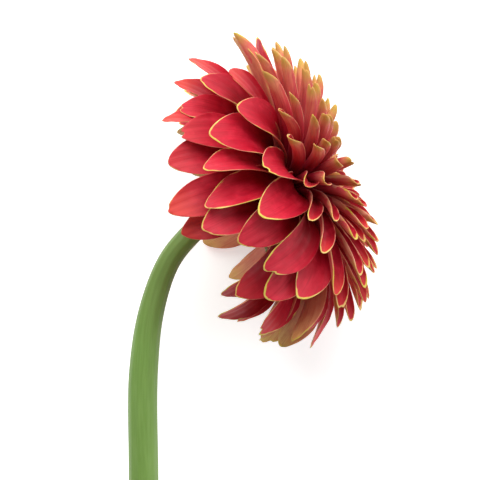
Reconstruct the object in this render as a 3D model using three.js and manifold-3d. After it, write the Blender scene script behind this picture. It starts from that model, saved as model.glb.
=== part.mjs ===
// A cut gerbera daisy with a double, two-coloured head, lying on its side on a flat surface.
// Millimetres, +Z up. The flower faces sideways, along the surface, and rests on its lowest
// petals. Its stem runs back and down to the surface, where the cut end lies. The origin is on
// the surface, under the middle of the box round the whole flower.
import * as THREE from "three";
import { mergeVertices } from "three/addons/utils/BufferGeometryUtils.js";
import Module from "manifold-3d";

const wasm = await Module();
wasm.setup();

const RAD = Math.PI / 180;

// The head's own frame has "height" along the flower's axis, with 0 where the narrow inner petals
// begin, and "radius" from that axis.
const HEAD_CENTRE = new THREE.Vector3(11.7, 122.2, 36.2);
const AXIS_TURN = 21 * RAD; // in plan from +X towards +Y, the way the flower faces
const AXIS_RISE = -2 * RAD; // how much the flower looks up from the surface

// Where petals come near the surface, they bend along it.
const PRESS_START = 29; // from this far below the head's centre
const PRESS_ROOM = 10; // to no more than this below there
const PRESSED_FLAT = -0.12; // and its middle surface gets no lower than this, where it is cut level
const PARTING = -4; // the height from which they bend forwards, and under which backwards
const PARTING_WIDTH = 10;

// Receptacle: the domed cushion that every petal grows from, as (radius, height).
const RECEPTACLE = [
  [0, -9.6],
  [9.5, -9.6],
  [12.6, -7.6],
  [13.4, -4],
  [12.6, 0],
  [9.6, 3.2],
  [5.4, 5.4],
  [0, 6.2],
];

// Whorls of petals from the outside in. turn is the azimuth of the first petal in degrees, root is
// (radius, height) inside the receptacle, rise is the angle in degrees from the rim plane towards
// the flower's front, at the root and at the tip, and cup is the half angle in radians of the
// channel across the petal, at the root and at the tip.
const WHORLS = [
  { count: 15, turn: -54, root: [10.5, -7.2], length: 43, width: 13.5, rise: [-8, -98], cup: [0.9, 0.25] },
  { count: 15, turn: -39, root: [10.5, -5.4], length: 43.5, width: 14, rise: [0, -90], cup: [0.9, 0.25] },
  { count: 15, turn: -51, root: [10.5, -3.4], length: 43, width: 14, rise: [8, -76], cup: [0.9, 0.25] },
  { count: 16, turn: -35, root: [10.5, -1.6], length: 41.5, width: 13.5, rise: [14, -50], cup: [0.9, 0.3] },
  { count: 24, turn: 2, root: [10, 0], length: 39, width: 7, rise: [19, -20], cup: [1.4, 1.5] },
  { count: 25, turn: 137, root: [9, 1.2], length: 36, width: 6.1, rise: [26, -4], cup: [1.4, 1.5] },
  { count: 24, turn: 275, root: [7.6, 2.4], length: 32, width: 5.6, rise: [35, 8], cup: [1.4, 1.5] },
  { count: 22, turn: 52, root: [6.2, 3.2], length: 27.5, width: 5.1, rise: [45, 18], cup: [1.4, 1.5] },
  { count: 17, turn: 190, root: [4.8, 3.8], length: 22.5, width: 4.7, rise: [56, 28], cup: [1.3, 1.4] },
  { count: 11, turn: 327, root: [3.6, 4.2], length: 18, width: 4.2, rise: [68, 42], cup: [1.3, 1.4] },
  { count: 6, turn: 104, root: [2, 4.4], length: 13, width: 3.6, rise: [78, 58], cup: [1.1, 1] },
  { count: 3, turn: 241, root: [0.7, 4.6], length: 10, width: 3.2, rise: [86, 76], cup: [1.1, 1] },
];
const FIRST_NARROW = 4; // whorls from here on are the narrow inner petals

// Broad petals that stand off their whorl's rule: by degrees round the head, by degrees of rise
// at the tip, by a share of their length, and by degrees of roll.
const STRAYS = [
  { whorl: 0, index: 0, turn: -2, lift: 6, size: 0.96, roll: 42 },
  { whorl: 0, index: 1, turn: 0, lift: 0, size: 0.9, roll: 0 },
  { whorl: 0, index: 2, turn: -3, lift: -6, size: 1.1, roll: 0 },
  { whorl: 0, index: 3, turn: -15, lift: -6, size: 0.98, roll: 0 },
  { whorl: 0, index: 4, turn: 3, lift: 8, size: 0.89, roll: -34 },
  { whorl: 0, index: 5, turn: -1, lift: -7, size: 0.99, roll: 0 },
  { whorl: 0, index: 6, turn: 0, lift: 8, size: 0.88, roll: 0 },
  { whorl: 0, index: 7, turn: 0, lift: 18, size: 0.98, roll: 0 },
  { whorl: 0, index: 8, turn: -1, lift: 1, size: 0.88, roll: 0 },
  { whorl: 0, index: 9, turn: 9, lift: 0, size: 0.98, roll: 0 },
  { whorl: 0, index: 12, turn: 0, lift: 0, size: 0.94, roll: 0 },
  { whorl: 0, index: 13, turn: 0, lift: 4, size: 0.88, roll: 0 },
  { whorl: 0, index: 14, turn: 0, lift: 0, size: 0.86, roll: 0 },
  { whorl: 1, index: 0, turn: 0, lift: 4, size: 0.98, roll: 0 },
  { whorl: 1, index: 1, turn: -1, lift: 28, size: 0.96, roll: 40 },
  { whorl: 1, index: 2, turn: -6, lift: 6, size: 0.96, roll: 0 },
  { whorl: 1, index: 3, turn: 6, lift: 14, size: 0.96, roll: 0 },
  { whorl: 1, index: 4, turn: 5, lift: 10, size: 1.06, roll: 0 },
  { whorl: 1, index: 5, turn: 0, lift: 16, size: 1.02, roll: -30 },
  { whorl: 1, index: 6, turn: -1, lift: 16, size: 1.08, roll: -50 },
  { whorl: 1, index: 8, turn: -7, lift: 0, size: 1, roll: 0 },
  { whorl: 1, index: 12, turn: 1, lift: 17, size: 1, roll: 0 },
  { whorl: 1, index: 13, turn: 0, lift: 9, size: 0.96, roll: 0 },
  { whorl: 1, index: 14, turn: 1, lift: 1, size: 0.91, roll: 0 },
  { whorl: 2, index: 0, turn: -7, lift: 14, size: 0.96, roll: 0 },
  { whorl: 2, index: 1, turn: 1, lift: 8, size: 0.98, roll: 0 },
  { whorl: 2, index: 2, turn: 0, lift: -10, size: 1, roll: 38 },
  { whorl: 2, index: 3, turn: -6, lift: 4, size: 1.03, roll: -16 },
  { whorl: 2, index: 4, turn: -5, lift: 5, size: 0.95, roll: 0 },
  { whorl: 2, index: 5, turn: 4, lift: 16, size: 1.07, roll: -50 },
  { whorl: 2, index: 6, turn: 1, lift: 8, size: 1.08, roll: -50 },
  { whorl: 2, index: 13, turn: -1, lift: -10, size: 0.98, roll: 60 },
  { whorl: 2, index: 14, turn: -3, lift: 6, size: 1.08, roll: 9 },
  { whorl: 3, index: 0, turn: 0, lift: 3, size: 1, roll: 0 },
  { whorl: 3, index: 1, turn: 6, lift: 13, size: 0.96, roll: 14 },
  { whorl: 3, index: 2, turn: -2, lift: -13, size: 1, roll: 12 },
  { whorl: 3, index: 3, turn: -1, lift: -28, size: 1.07, roll: 0 },
  { whorl: 3, index: 4, turn: -8, lift: 1, size: 1.03, roll: 26 },
  { whorl: 3, index: 5, turn: 0, lift: -5, size: 1, roll: 0 },
  { whorl: 3, index: 6, turn: 1, lift: -9, size: 1.24, roll: 0 },
  { whorl: 3, index: 13, turn: 0, lift: 45, size: 1.07, roll: 16 },
  { whorl: 3, index: 14, turn: 0, lift: 16, size: 1.08, roll: 40 },
  { whorl: 3, index: 15, turn: 2, lift: 6, size: 0.95, roll: 24 },
];

const AS_RULED = { turn: 0, lift: 0, size: 1, roll: 0 };

const PETAL_THICKNESS = 0.97; // at the midrib

// Involucre: a green cup, as (radius, height), and the rows of bracts on it, as the whorls above.
const CUP = [
  [0, -20.5],
  [3.9, -20.5],
  [4.8, -19.4],
  [7.6, -17.2],
  [9.7, -14],
  [10.2, -11.2],
  [9.3, -9.9],
  [0, -9.9],
];
const BRACT_ROWS = [
  { count: 12, turn: 10, root: [6.4, -16.4], length: 9, rise: [-6, 8] },
  { count: 13, turn: 25, root: [7.9, -14.4], length: 9.6, rise: [0, -2] },
  { count: 14, turn: 0, root: [8.8, -12.2], length: 9.8, rise: [-8, -14] },
];
const BRACT_WIDTH = 4.3;

// Stem: its middle line from the head to the cut end, in plan from the head's centre and in height
// above the surface. It starts along the flower's axis, just clear of the involucre.
const STEM_START = -20.8; // height of the stem's end in the head's frame
const STEM_LINE = [
  [-31.4, -16.3, 36.9],
  [-38.2, -25, 36],
  [-43.7, -40.4, 34.4],
  [-46.4, -60, 32.4],
  [-46.6, -93.4, 28.5],
  [-46, -190, 17],
  [-44, -290, 5.1],
];
const STEM_SIDES = 16;
const STEM_RINGS = 32;
const NECK_RADIUS = 3.5;
const STEM_SWELL = 1.1; // the stem grows by this between two shares of its length
const SWELL_FROM = 0.06;
const SWELL_TO = 0.24;
const STEM_TAPER = 0.6; // and by this, evenly, from the neck to the cut end
const NECK_FLARE = 0.4; // more at its very start, where it carries the involucre
const FLARE_SHARE = 0.04;
const CUT_SLANT = Math.tan(30 * RAD); // the cut end leans back this much

// Directions of the head: along its axis, up, and across.
const axis = new THREE.Vector3(
  Math.cos(AXIS_TURN) * Math.cos(AXIS_RISE),
  Math.sin(AXIS_TURN) * Math.cos(AXIS_RISE),
  Math.sin(AXIS_RISE),
);
const up = new THREE.Vector3(0, 0, 1).addScaledVector(axis, -axis.z).normalize();
const across = new THREE.Vector3().crossVectors(axis, up);

// A repeatable draw from -1 to 1 for a petal's place in the head and the thing that varies.
function draw(whorl, index, thing) {
  const x = Math.sin(whorl * 127.1 + index * 311.7 + thing * 74.7) * 43758.5453;
  return 2 * (x - Math.floor(x)) - 1;
}

// Bends a point of a petal along the surface, forwards or back, as it comes near.
function press(point) {
  const depth = HEAD_CENTRE.z - point.z - PRESS_START;
  if (depth > 0) {
    const kept = PRESS_ROOM * (1 - Math.exp(-depth / PRESS_ROOM));
    const height = point.clone().sub(HEAD_CENTRE).dot(axis);
    const way = THREE.MathUtils.clamp((height - PARTING) / PARTING_WIDTH, -1, 1);
    point.addScaledVector(axis, way * (depth - kept));
    point.z = Math.max(PRESSED_FLAT, HEAD_CENTRE.z - PRESS_START - kept);
  }
  return point;
}

// Half width of a petal along its length, as a share of its greatest half width.
function outline({ foot, taper }, along) {
  const widest = 0.62;
  const grow = Math.sin((Math.PI / 2) * Math.min(1, along / widest));
  const fade = Math.max(0, (along - widest) / (1 - widest));
  return (foot + (1 - foot) * grow) * (1 - taper * fade * fade);
}

// One petal's own values: where it points, and how it leans, rolls and sways.
function petalOf(whorl, index) {
  const { count, turn, root, length, width, rise, cup } = WHORLS[whorl];
  const broad = whorl < FIRST_NARROW;
  const vary = (thing) => draw(whorl, index, thing);
  const stray = STRAYS.find((s) => s.whorl === whorl && s.index === index) ?? AS_RULED;
  const shift = (broad ? 0.1 : 0.22) * vary(1);
  const azimuth = (turn + stray.turn + (360 / count) * (index + shift)) * RAD;
  const upward = -Math.sin(azimuth); // 1 on the side that is far from the cut end
  const under = Math.max(0, -Math.cos(azimuth)); // 1 on the side that lies on the surface
  let lean = 4 * upward * upward + 3 * upward;
  let reach = 0.97 + 0.07 * upward * upward;
  let roll = 26 + 16 * vary(6) + 15 * Math.max(0, -upward);
  if (broad) {
    lean = 12 * upward * upward + 8 * upward + 20 * under;
    reach = 1.03 - 0.1 * upward * upward - 0.03 * upward - 0.2 * under;
    roll = 12 - 46 * Math.max(0, upward) + 10 * vary(6);
  }
  return {
    azimuth,
    root,
    length: length * reach * stray.size * (1 + 0.05 * vary(2)),
    width: width * (1 + 0.08 * vary(3)),
    rise: [rise[0] + 4 * vary(4), rise[1] + lean + stray.lift + (broad ? 5 : 9) * vary(5)],
    cup,
    roll: (roll + stray.roll) * RAD,
    sway: 0.05 * vary(7),
    foot: broad ? 0.3 : 0.5,
    taper: 0.25,
    blunt: broad ? 0.28 : 0.18,
  };
}

// One bract's own values.
function bractOf(row, index) {
  const { count, turn, root, length, rise } = BRACT_ROWS[row];
  const vary = (thing) => draw(WHORLS.length + row, index, thing);
  return {
    azimuth: (turn + (360 / count) * (index + 0.1 * vary(1))) * RAD,
    root,
    length: length * (1 + 0.05 * vary(2)),
    width: BRACT_WIDTH,
    rise: [rise[0] + 2 * vary(4), rise[1] + 4 * vary(5)],
    cup: [0.9, 0.5],
    roll: 0,
    sway: 0.05 * vary(7),
    foot: 0.8,
    taper: 0.7,
    blunt: 0.4,
  };
}

const MIDRIB_STEPS = 24;
const CURL = 1.15; // over 1, a petal bends more towards its tip

// Middle surface of a petal: side runs from -1 to 1 across it, and along from 0 to 1.
function petalPoint(petal, along, side) {
  const reach = along * (1 - petal.blunt * (1 - Math.sqrt(1 - side * side)));
  const radial = up
    .clone()
    .multiplyScalar(Math.cos(petal.azimuth))
    .addScaledVector(across, Math.sin(petal.azimuth));
  let [radius, height] = petal.root;
  let angle = petal.rise[0] * RAD;
  const step = (petal.length * reach) / MIDRIB_STEPS;
  for (let i = 0; i < MIDRIB_STEPS; i++) {
    const share = (((i + 0.5) / MIDRIB_STEPS) * reach) ** CURL;
    angle = (petal.rise[0] + (petal.rise[1] - petal.rise[0]) * share) * RAD;
    radius += Math.cos(angle) * step;
    height += Math.sin(angle) * step;
  }
  const flat = new THREE.Vector3().crossVectors(axis, radial);
  const face = axis.clone().multiplyScalar(Math.cos(angle)).addScaledVector(radial, -Math.sin(angle));
  const roll = petal.roll * Math.sin((Math.PI / 2) * reach);
  const sideways = flat.clone().multiplyScalar(Math.cos(roll)).addScaledVector(face, Math.sin(roll));
  const facing = face.clone().multiplyScalar(Math.cos(roll)).addScaledVector(flat, -Math.sin(roll));
  const cup = petal.cup[0] + (petal.cup[1] - petal.cup[0]) * reach;
  const half = (petal.width / 2) * outline(petal, reach);
  return HEAD_CENTRE.clone()
    .addScaledVector(radial, radius)
    .addScaledVector(axis, height)
    .addScaledVector(flat, petal.sway * petal.length * reach * reach)
    .addScaledVector(sideways, (half * Math.sin(cup * side)) / cup)
    .addScaledVector(facing, (half * (1 - Math.cos(cup * side))) / cup);
}

// A closed solid through rings of points, each ring as many points. Its first ring is capped, and
// its last one too unless it is pinched flat, as at a blade's tip. A blade's two faces are split
// alike, from margin to midrib, so that they don't cross where it is thin.
function loft(rings, pinched = false) {
  const sides = rings[0].length;
  const positions = rings.flat().flatMap((p) => [p.x, p.y, p.z]);
  const faces = [];
  for (let r = 0; r + 1 < rings.length; r++) {
    for (let i = 0; i < sides; i++) {
      const a = r * sides + i;
      const b = r * sides + ((i + 1) % sides);
      const c = b + sides;
      const d = a + sides;
      if (pinched && i % 2 === 1) faces.push(a, b, d, b, c, d);
      else faces.push(a, b, c, a, c, d);
    }
  }
  const last = (rings.length - 1) * sides;
  for (let i = 1; i + 1 < sides; i++) {
    faces.push(0, i + 1, i);
    if (!pinched) faces.push(last, last + i, last + i + 1);
  }
  const geometry = new THREE.BufferGeometry();
  geometry.setAttribute("position", new THREE.Float32BufferAttribute(positions, 3));
  geometry.setIndex(faces);
  return geometry;
}

// A solid that booleans can join or cut.
function solidOf(geometry) {
  const bare = geometry.clone();
  bare.deleteAttribute("normal");
  bare.deleteAttribute("uv");
  const merged = mergeVertices(bare, 1e-4);
  return new wasm.Manifold(
    new wasm.Mesh({
      numProp: 3,
      vertProperties: merged.attributes.position.array,
      triVerts: new Uint32Array(merged.index.array),
    }),
  );
}

const SMALLEST = 0.02; // cuts leave no edges shorter than this

// The mesh geometry of the largest body of a joined solid, cut off level with the surface.
function geometryOf(solid) {
  const bodies = solid.trimByPlane([0, 0, 1], 0).simplify(SMALLEST).decompose();
  const largest = bodies.reduce((best, s) => (s.volume() > best.volume() ? s : best));
  const mesh = largest.getMesh();
  const geometry = new THREE.BufferGeometry();
  geometry.setAttribute("position", new THREE.BufferAttribute(mesh.vertProperties, 3));
  geometry.setIndex(new THREE.BufferAttribute(mesh.triVerts, 1));
  return geometry;
}

// A solid of revolution round the head's axis, from its (radius, height) profile.
function turned(profile, sides) {
  const geometry = new THREE.LatheGeometry(
    profile.map(([radius, height]) => new THREE.Vector2(radius, height)),
    sides,
  );
  geometry.applyMatrix4(new THREE.Matrix4().makeBasis(across, axis, up).setPosition(HEAD_CENTRE));
  return solidOf(geometry);
}

// Rings of a blade from root to tip: how far along its margins and its midrib are.
const BROAD_RINGS = [
  [0, 0],
  [0.35, 0.3],
  [0.7, 0.6],
  [1, 0.88],
];
const NARROW_RINGS = [
  [0, 0],
  [0.45, 0.42],
  [0.92, 0.82],
];
const TIP_SIDE = 0.7; // how far across the blunt tip reaches

// A petal or bract as a blade: thickest along its midrib, with thin margins and tip.
function blade(petal, stations) {
  const at = (along, side) => press(petalPoint(petal, along, side));
  const rings = stations.map(([margin, midrib]) => {
    const left = at(margin, -1);
    const middle = at(midrib, 0);
    const right = at(margin, 1);
    const ahead = at(midrib + 0.02, 0).sub(middle);
    const facing = new THREE.Vector3().crossVectors(ahead, right.clone().sub(left)).normalize();
    const over = middle.clone().addScaledVector(facing, PETAL_THICKNESS / 2);
    const under = middle.clone().addScaledVector(facing, -PETAL_THICKNESS / 2);
    return [left, under, right, over];
  });
  const tip = at(1, 0);
  rings.push([at(1, -TIP_SIDE), tip, at(1, TIP_SIDE), tip]);
  return solidOf(loft(rings, true));
}

// Every petal, joined on the receptacle.
function bloom() {
  const parts = [turned(RECEPTACLE, 18)];
  WHORLS.forEach(({ count }, whorl) => {
    const stations = whorl < FIRST_NARROW ? BROAD_RINGS : NARROW_RINGS;
    for (let index = 0; index < count; index++) parts.push(blade(petalOf(whorl, index), stations));
  });
  return geometryOf(wasm.Manifold.union(parts));
}

// The green cup under the head, with its bracts.
function involucre() {
  const parts = [turned(CUP, 18)];
  BRACT_ROWS.forEach(({ count }, row) => {
    for (let index = 0; index < count; index++) parts.push(blade(bractOf(row, index), NARROW_RINGS));
  });
  return geometryOf(wasm.Manifold.union(parts));
}

function stemRadius(share) {
  const swell = THREE.MathUtils.smoothstep(share, SWELL_FROM, SWELL_TO);
  const flare = Math.max(0, 1 - share / FLARE_SHARE) ** 2;
  return NECK_RADIUS + STEM_SWELL * swell + STEM_TAPER * share + NECK_FLARE * flare;
}

// The stem as a tapered tube of rings along its middle line.
function stem() {
  const inHead = (height) => HEAD_CENTRE.clone().addScaledVector(axis, height);
  const line = new THREE.CatmullRomCurve3([
    inHead(STEM_START),
    inHead(STEM_START - 3),
    ...STEM_LINE.map(([x, y, z]) => new THREE.Vector3(HEAD_CENTRE.x + x, HEAD_CENTRE.y + y, z)),
  ]);
  line.arcLengthDivisions = 800;
  const rings = [];
  for (let r = 0; r <= STEM_RINGS; r++) {
    const share = r / STEM_RINGS;
    const tangent = r === 0 ? axis.clone().negate() : line.getTangentAt(share);
    const side = new THREE.Vector3(0, 0, 1).cross(tangent).normalize();
    const top = new THREE.Vector3().crossVectors(tangent, side);
    const slant = r === STEM_RINGS ? CUT_SLANT : 0;
    const ring = [];
    for (let i = 0; i < STEM_SIDES; i++) {
      const turn = (2 * Math.PI * i) / STEM_SIDES;
      const high = stemRadius(share) * Math.sin(turn);
      const point = line.getPointAt(share).addScaledVector(side, stemRadius(share) * Math.cos(turn));
      ring.push(point.addScaledVector(top, high).addScaledVector(tangent, -slant * high));
    }
    rings.push(ring);
  }
  return geometryOf(solidOf(loft(rings)));
}

const flower = new THREE.Group();

function add(name, geometry, color, roughness) {
  const mesh = new THREE.Mesh(geometry, new THREE.MeshStandardMaterial({ color, roughness, metalness: 0 }));
  mesh.name = name;
  flower.add(mesh);
}

add("petals", bloom(), 0xc23a46, 0.5);
add("involucre", involucre(), 0x6f8f3c, 0.6);
add("stem", stem(), 0x73964a, 0.5);

export default flower;
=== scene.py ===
# The looks of the cut gerbera: fine petals, bracts and stem over its fixed solids, their materials,
# and the photograph's light and camera. Forms are worked out in millimetres in the part's own
# frame, and become metres where a mesh is made.
import math
from functools import partial
import bpy
import numpy as np
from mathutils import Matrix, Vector


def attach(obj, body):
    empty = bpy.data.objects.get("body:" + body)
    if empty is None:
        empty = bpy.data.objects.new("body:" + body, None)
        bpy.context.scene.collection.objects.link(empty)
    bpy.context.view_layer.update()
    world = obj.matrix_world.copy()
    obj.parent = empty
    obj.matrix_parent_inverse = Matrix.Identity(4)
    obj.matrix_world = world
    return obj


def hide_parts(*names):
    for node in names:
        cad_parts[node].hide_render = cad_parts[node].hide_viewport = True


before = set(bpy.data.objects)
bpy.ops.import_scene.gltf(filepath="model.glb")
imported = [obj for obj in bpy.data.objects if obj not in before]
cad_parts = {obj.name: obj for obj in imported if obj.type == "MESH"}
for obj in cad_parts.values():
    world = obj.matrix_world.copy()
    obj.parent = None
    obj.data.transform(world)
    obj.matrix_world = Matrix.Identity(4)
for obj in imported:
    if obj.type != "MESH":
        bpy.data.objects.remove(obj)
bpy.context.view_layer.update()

MM = 0.001
BODY = "root"

# The head's own frame has "height" along the flower's axis, with 0 where the narrow inner petals
# begin, and "radius" from that axis.
HEAD_CENTRE = np.array([11.7, 122.2, 36.2])
AXIS_TURN = math.radians(21)  # in plan from +X towards +Y, the way the flower faces
AXIS_RISE = math.radians(-2)  # how much the flower looks up from the surface

# Where petals come near the surface, they bend along it.
PRESS_START = 29  # from this far below the head's centre
PRESS_ROOM = 10  # to no more than this below there
LOWEST_MIDDLE = 0.34  # the height under which no petal's middle surface gets
LOWEST = 0.06  # and under which no point gets
PARTING = -4  # the height from which petals bend forwards, and under which backwards
PARTING_WIDTH = 10

# Whorls of petals from the outside in: turn is the azimuth of the first petal in degrees, root is
# (radius, height), rise is the angle in degrees from the rim plane towards the flower's front at
# the root and at the tip, and cup is the half angle of the channel across, at root and tip.
WHORLS = [
    dict(count=15, turn=-54, root=(10.5, -7.2), length=43, width=13.5, rise=(-8, -98), cup=(0.9, 0.25)),
    dict(count=15, turn=-39, root=(10.5, -5.4), length=43.5, width=14, rise=(0, -90), cup=(0.9, 0.25)),
    dict(count=15, turn=-51, root=(10.5, -3.4), length=43, width=14, rise=(8, -76), cup=(0.9, 0.25)),
    dict(count=16, turn=-35, root=(10.5, -1.6), length=41.5, width=13.5, rise=(14, -50), cup=(0.9, 0.3)),
    dict(count=24, turn=2, root=(10, 0), length=39, width=7, rise=(19, -20), cup=(1.4, 1.5)),
    dict(count=25, turn=137, root=(9, 1.2), length=36, width=6.1, rise=(26, -4), cup=(1.4, 1.5)),
    dict(count=24, turn=275, root=(7.6, 2.4), length=32, width=5.6, rise=(35, 8), cup=(1.4, 1.5)),
    dict(count=22, turn=52, root=(6.2, 3.2), length=27.5, width=5.1, rise=(45, 18), cup=(1.4, 1.5)),
    dict(count=17, turn=190, root=(4.8, 3.8), length=22.5, width=4.7, rise=(56, 28), cup=(1.3, 1.4)),
    dict(count=11, turn=327, root=(3.6, 4.2), length=18, width=4.2, rise=(68, 42), cup=(1.3, 1.4)),
    dict(count=6, turn=104, root=(2, 4.4), length=13, width=3.6, rise=(78, 58), cup=(1.1, 1)),
    dict(count=3, turn=241, root=(0.7, 4.6), length=10, width=3.2, rise=(86, 76), cup=(1.1, 1)),
]
FIRST_NARROW = 4  # whorls from here on are the narrow inner petals

# How the broad and the narrow petals differ. A pair is a middle value and how far a draw of 1 moves
# it. Lean and reach are a constant and what is added by how far the petal points away from the cut
# end, by the square of that, and by how far it lies under the head.
BROAD = dict(
    shift=0.1,  # round the head, as a share of the room between two petals
    roll=(12, 10),  # degrees about its own length
    roll_far=-46,  # and this much more where it points away from the cut end
    roll_near=0,  # or towards it
    lean=(0, 8, 12, 20),  # degrees more rise at the tip
    reach=(1.03, -0.03, -0.1, -0.2),  # a factor on the length
    tip_rise=5,  # degrees that a draw adds to the tip's rise
    foot=0.3,  # width at the root, as a share of the greatest width
    blunt=0.28,  # how far the tip is cut back towards the margins
    notches=(("notch", 0.2), ("nick", 0.6)),  # each has the draw from which a petal has it
    curl=((0.5, 0.35), (0.45, 0.35)),  # how far each margin is raised, in millimetres
    wave=0.45,  # height of the margins' waves
    crease=(0, 0.4),  # depth of the crease down the middle
    ribs=0.09,  # height of the soft ribs beside it
    hood=(0.1, 0),  # how far the tip bends to the front
    thickness=0.42,
    rim=((0.25, 0.25), (0.4, 0.2), (0.25, 0.25), (0, 1)),  # the four values of RIMS
    rim_near=0,  # wider along the first margin where it points towards the cut end
    grid=(44, 24),  # rows and columns of its sheets
)
NARROW = dict(
    shift=0.22,
    roll=(26, 16),
    roll_far=0,
    roll_near=15,
    lean=(0, 3, 4, 0),
    reach=(0.97, 0, 0.07, 0),
    tip_rise=9,
    foot=0.5,
    blunt=0.18,
    notches=(("notch", 0.3), ("nick", 0.6)),
    curl=((0.25, 0), (0.25, 0)),
    wave=0.15,
    crease=(0.1, 0),
    ribs=0.05,
    hood=(0.7, 0.3),
    thickness=0.5,
    rim=((0.4, 0.25), (0.35, 0.2), (0.15, 0.1), (0.3, 0.3)),
    rim_near=1.1,
    grid=(30, 14),
)

# What both kinds share, with pairs as above.
LENGTH_FACTOR = (1, 0.05)
WIDTH_FACTOR = (1, 0.08)
ROOT_RISE = 4  # degrees that a draw adds to the root's rise
SWAY = 0.05  # sideways at the tip, as a share of the length
TAPER = 0.25  # how much narrower the tip is than the widest place
WAVES = (1.3, 0.5)  # along a petal
WAVE_FACTOR = (1, 0.6)
POINT = (0.15, 0.15)  # 0 is a round tip and 1 a pointed one
SLENDER_POINT = 0.35
SLENDER_FROM = 0.7  # a petal with a tip more orange than this is slender, with no notches
NOTCHES = dict(notch=(0.3, 0.03), nick=(0.5, 0.02))  # how far aside, and its usual depth

# Broad petals that stand off their whorl's rule, as (whorl, index): degrees round the head, degrees
# of rise at the tip, a factor on the length, and degrees of roll.
STRAYS = {
    (0, 0): (-2, 6, 0.96, 42),
    (0, 1): (0, 0, 0.9, 0),
    (0, 2): (-3, -6, 1.1, 0),
    (0, 3): (-15, -6, 0.98, 0),
    (0, 4): (3, 8, 0.89, -34),
    (0, 5): (-1, -7, 0.99, 0),
    (0, 6): (0, 8, 0.88, 0),
    (0, 7): (0, 18, 0.98, 0),
    (0, 8): (-1, 1, 0.88, 0),
    (0, 9): (9, 0, 0.98, 0),
    (0, 12): (0, 0, 0.94, 0),
    (0, 13): (0, 4, 0.88, 0),
    (0, 14): (0, 0, 0.86, 0),
    (1, 0): (0, 4, 0.98, 0),
    (1, 1): (-1, 28, 0.96, 40),
    (1, 2): (-6, 6, 0.96, 0),
    (1, 3): (6, 14, 0.96, 0),
    (1, 4): (5, 10, 1.06, 0),
    (1, 5): (0, 16, 1.02, -30),
    (1, 6): (-1, 16, 1.08, -50),
    (1, 8): (-7, 0, 1, 0),
    (1, 12): (1, 17, 1, 0),
    (1, 13): (0, 9, 0.96, 0),
    (1, 14): (1, 1, 0.91, 0),
    (2, 0): (-7, 14, 0.96, 0),
    (2, 1): (1, 8, 0.98, 0),
    (2, 2): (0, -10, 1, 38),
    (2, 3): (-6, 4, 1.03, -16),
    (2, 4): (-5, 5, 0.95, 0),
    (2, 5): (4, 16, 1.07, -50),
    (2, 6): (1, 8, 1.08, -50),
    (2, 13): (-1, -10, 0.98, 60),
    (2, 14): (-3, 6, 1.08, 9),
    (3, 0): (0, 3, 1, 0),
    (3, 1): (6, 13, 0.96, 14),
    (3, 2): (-2, -13, 1, 12),
    (3, 3): (-1, -28, 1.07, 0),
    (3, 4): (-8, 1, 1.03, 26),
    (3, 5): (0, -5, 1, 0),
    (3, 6): (1, -9, 1.24, 0),
    (3, 13): (0, 45, 1.07, 16),
    (3, 14): (0, 16, 1.08, 40),
    (3, 15): (2, 6, 0.95, 24),
}

# Broad petals whose rim the photograph shows, as (whorl, index): its width in millimetres along
# the first margin, at the tip and along the second, and how orange the tip is, from 0 to 1.
RIMS = {
    (0, 0): (0, 0.1, 0, 1),
    (0, 1): (0.1, 0.1, 0.1, 0.2),
    (0, 2): (0.05, 0.1, 0, 0.7),
    (0, 3): (0.05, 0.1, 0.05, 0.5),
    (0, 4): (0.3, 0.3, 0.1, 0.3),
    (0, 5): (0.1, 0.6, 0.1, 0.6),
    (1, 0): (0, 0.1, 0.1, 0.2),
    (1, 1): (0.35, 0.3, 0.1, 0),
    (1, 2): (0.5, 0.3, 0.15, 0),
    (1, 3): (0.1, 0.2, 0.2, 0.2),
    (1, 4): (0.15, 0.5, 0.35, 0.4),
    (1, 13): (0, 0.1, 0.05, 0.9),
    (1, 14): (0.1, 0.4, 0.5, 0),
    (2, 0): (0.05, 0.35, 0.45, 0),
    (2, 1): (0.1, 0.35, 0.25, 0),
    (2, 2): (0.3, 0.45, 0.9, 0),
    (2, 3): (0.15, 0.3, 0.3, 0),
    (2, 4): (0.6, 0.4, 0.2, 0),
    (2, 14): (0, 0.1, 0, 1),
    (3, 0): (0.05, 0.35, 0.3, 0),
    (3, 1): (0.3, 0.35, 0.1, 0),
    (3, 2): (0.3, 0.4, 0.08, 0),
    (3, 3): (0.45, 0.4, 0.05, 0),
    (3, 4): (0.6, 0.4, 0.1, 0),
    (3, 5): (0.35, 0.15, 0.1, 0),
    (3, 15): (0, 0.05, 0, 0.6),
}

# Involucre: a green cup, as (radius, height), and the rows of bracts on it.
CUP = [
    (0.5, -20.6), (3.9, -20.5), (4.8, -19.4), (7.6, -17.2),
    (9.7, -14), (10.2, -11.2), (9.3, -9.9), (0, -9.9),
]
BRACT_ROWS = [
    dict(count=12, turn=10, root=(6.4, -16.4), length=9, rise=(-6, 8)),
    dict(count=13, turn=25, root=(7.9, -14.4), length=9.6, rise=(0, -2)),
    dict(count=14, turn=0, root=(8.8, -12.2), length=9.8, rise=(-8, -14)),
]
# What all bracts have, in the same terms as a petal.
BRACT = dict(
    width=4.3,
    cup=(0.9, 0.5),
    roll=0,
    foot=0.8,
    taper=0.7,
    blunt=0.4,
    rim=(0, 0, 0, 0),
    notches=[],
    point=0.3,
    curl=(0.05, 0.05),
    wave=0.1,
    waves=1,
    crease=-0.15,
    ribs=0.03,
    hood=0.1,
    thickness=0.5,
)
BRACT_SHIFT = 0.1
BRACT_ROOT = 2  # degrees that a draw adds to the root's rise
BRACT_TIP = 4  # and to the tip's
BRACT_GRID = (18, 10)

# Receptacle: the domed cushion that every petal grows from, as (radius, height).
RECEPTACLE = [
    (0, -9.6), (9.5, -9.6), (12.6, -7.6), (13.4, -4),
    (12.6, 0), (9.6, 3.2), (5.4, 5.4), (0, 6.2),
]

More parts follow.
